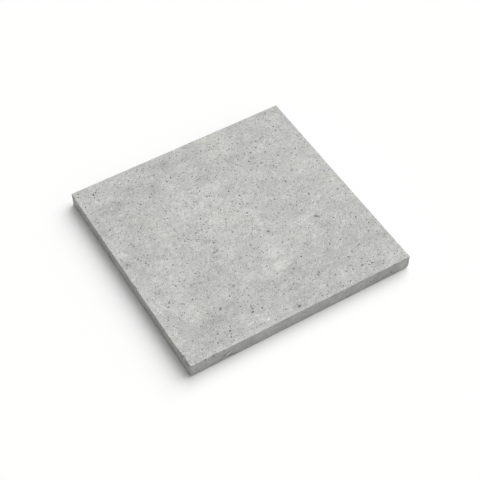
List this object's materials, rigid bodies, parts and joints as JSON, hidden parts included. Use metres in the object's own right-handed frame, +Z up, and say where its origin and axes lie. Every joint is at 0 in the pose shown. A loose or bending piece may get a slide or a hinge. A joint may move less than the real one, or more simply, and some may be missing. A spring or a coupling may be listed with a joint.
{
  "type": "paving slab",
  "caption": "Square cast concrete paving slab: thin, with upright sides, a smooth finely pored wearing face, a flat bed, and small knocks along its edges.",
  "frame": {"origin": "centre of the underside, where the slab lies on its bed", "axes": "+X and +Y along the sides and +Z up out of the wearing face; the worn corner is the one at low X and low Y"},
  "size_m": [0.6, 0.6, 0.04],
  "materials": {
    "concrete": "matt light grey concrete with soft cloudy mottling, fine dark pores and a few larger blowholes"
  },
  "bodies": {
    "root": {"slab": "concrete"}
  },
  "joints": []
}
